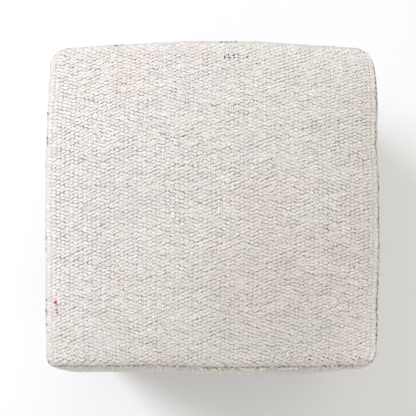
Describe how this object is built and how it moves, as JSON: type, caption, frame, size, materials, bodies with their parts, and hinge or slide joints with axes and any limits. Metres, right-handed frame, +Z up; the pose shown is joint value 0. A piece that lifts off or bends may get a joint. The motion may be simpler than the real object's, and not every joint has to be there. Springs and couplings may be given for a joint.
{
  "type": "cube pouf stool",
  "caption": "Firmly stuffed cube pouf in coarse off-white handwoven cloth: crowned top, bulging sides drawn in at sewn seams, and a base that lies flat on the floor.",
  "frame": {"origin": "on the floor, under the middle of the whole pouf's box", "axes": "+Z up; +Y to the back, away from someone who faces the front panel; +X to that person's right"},
  "size_m": [0.4256, 0.4182, 0.3953],
  "materials": {
    "woven_cloth": "coarse matt weft-faced plain weave of handspun yarn, off-white with grey and tan patches",
    "base_cloth": "the same coarse weave, plain and a little greyer, matt",
    "stuffing": "packed white fibre, matt, covered by the panels"
  },
  "bodies": {
    "root": {"filled_body": "stuffing", "top_panel": "woven_cloth", "front_panel": "woven_cloth", "back_panel": "woven_cloth", "left_panel": "woven_cloth", "right_panel": "woven_cloth", "base_panel": "base_cloth"}
  },
  "joints": []
}
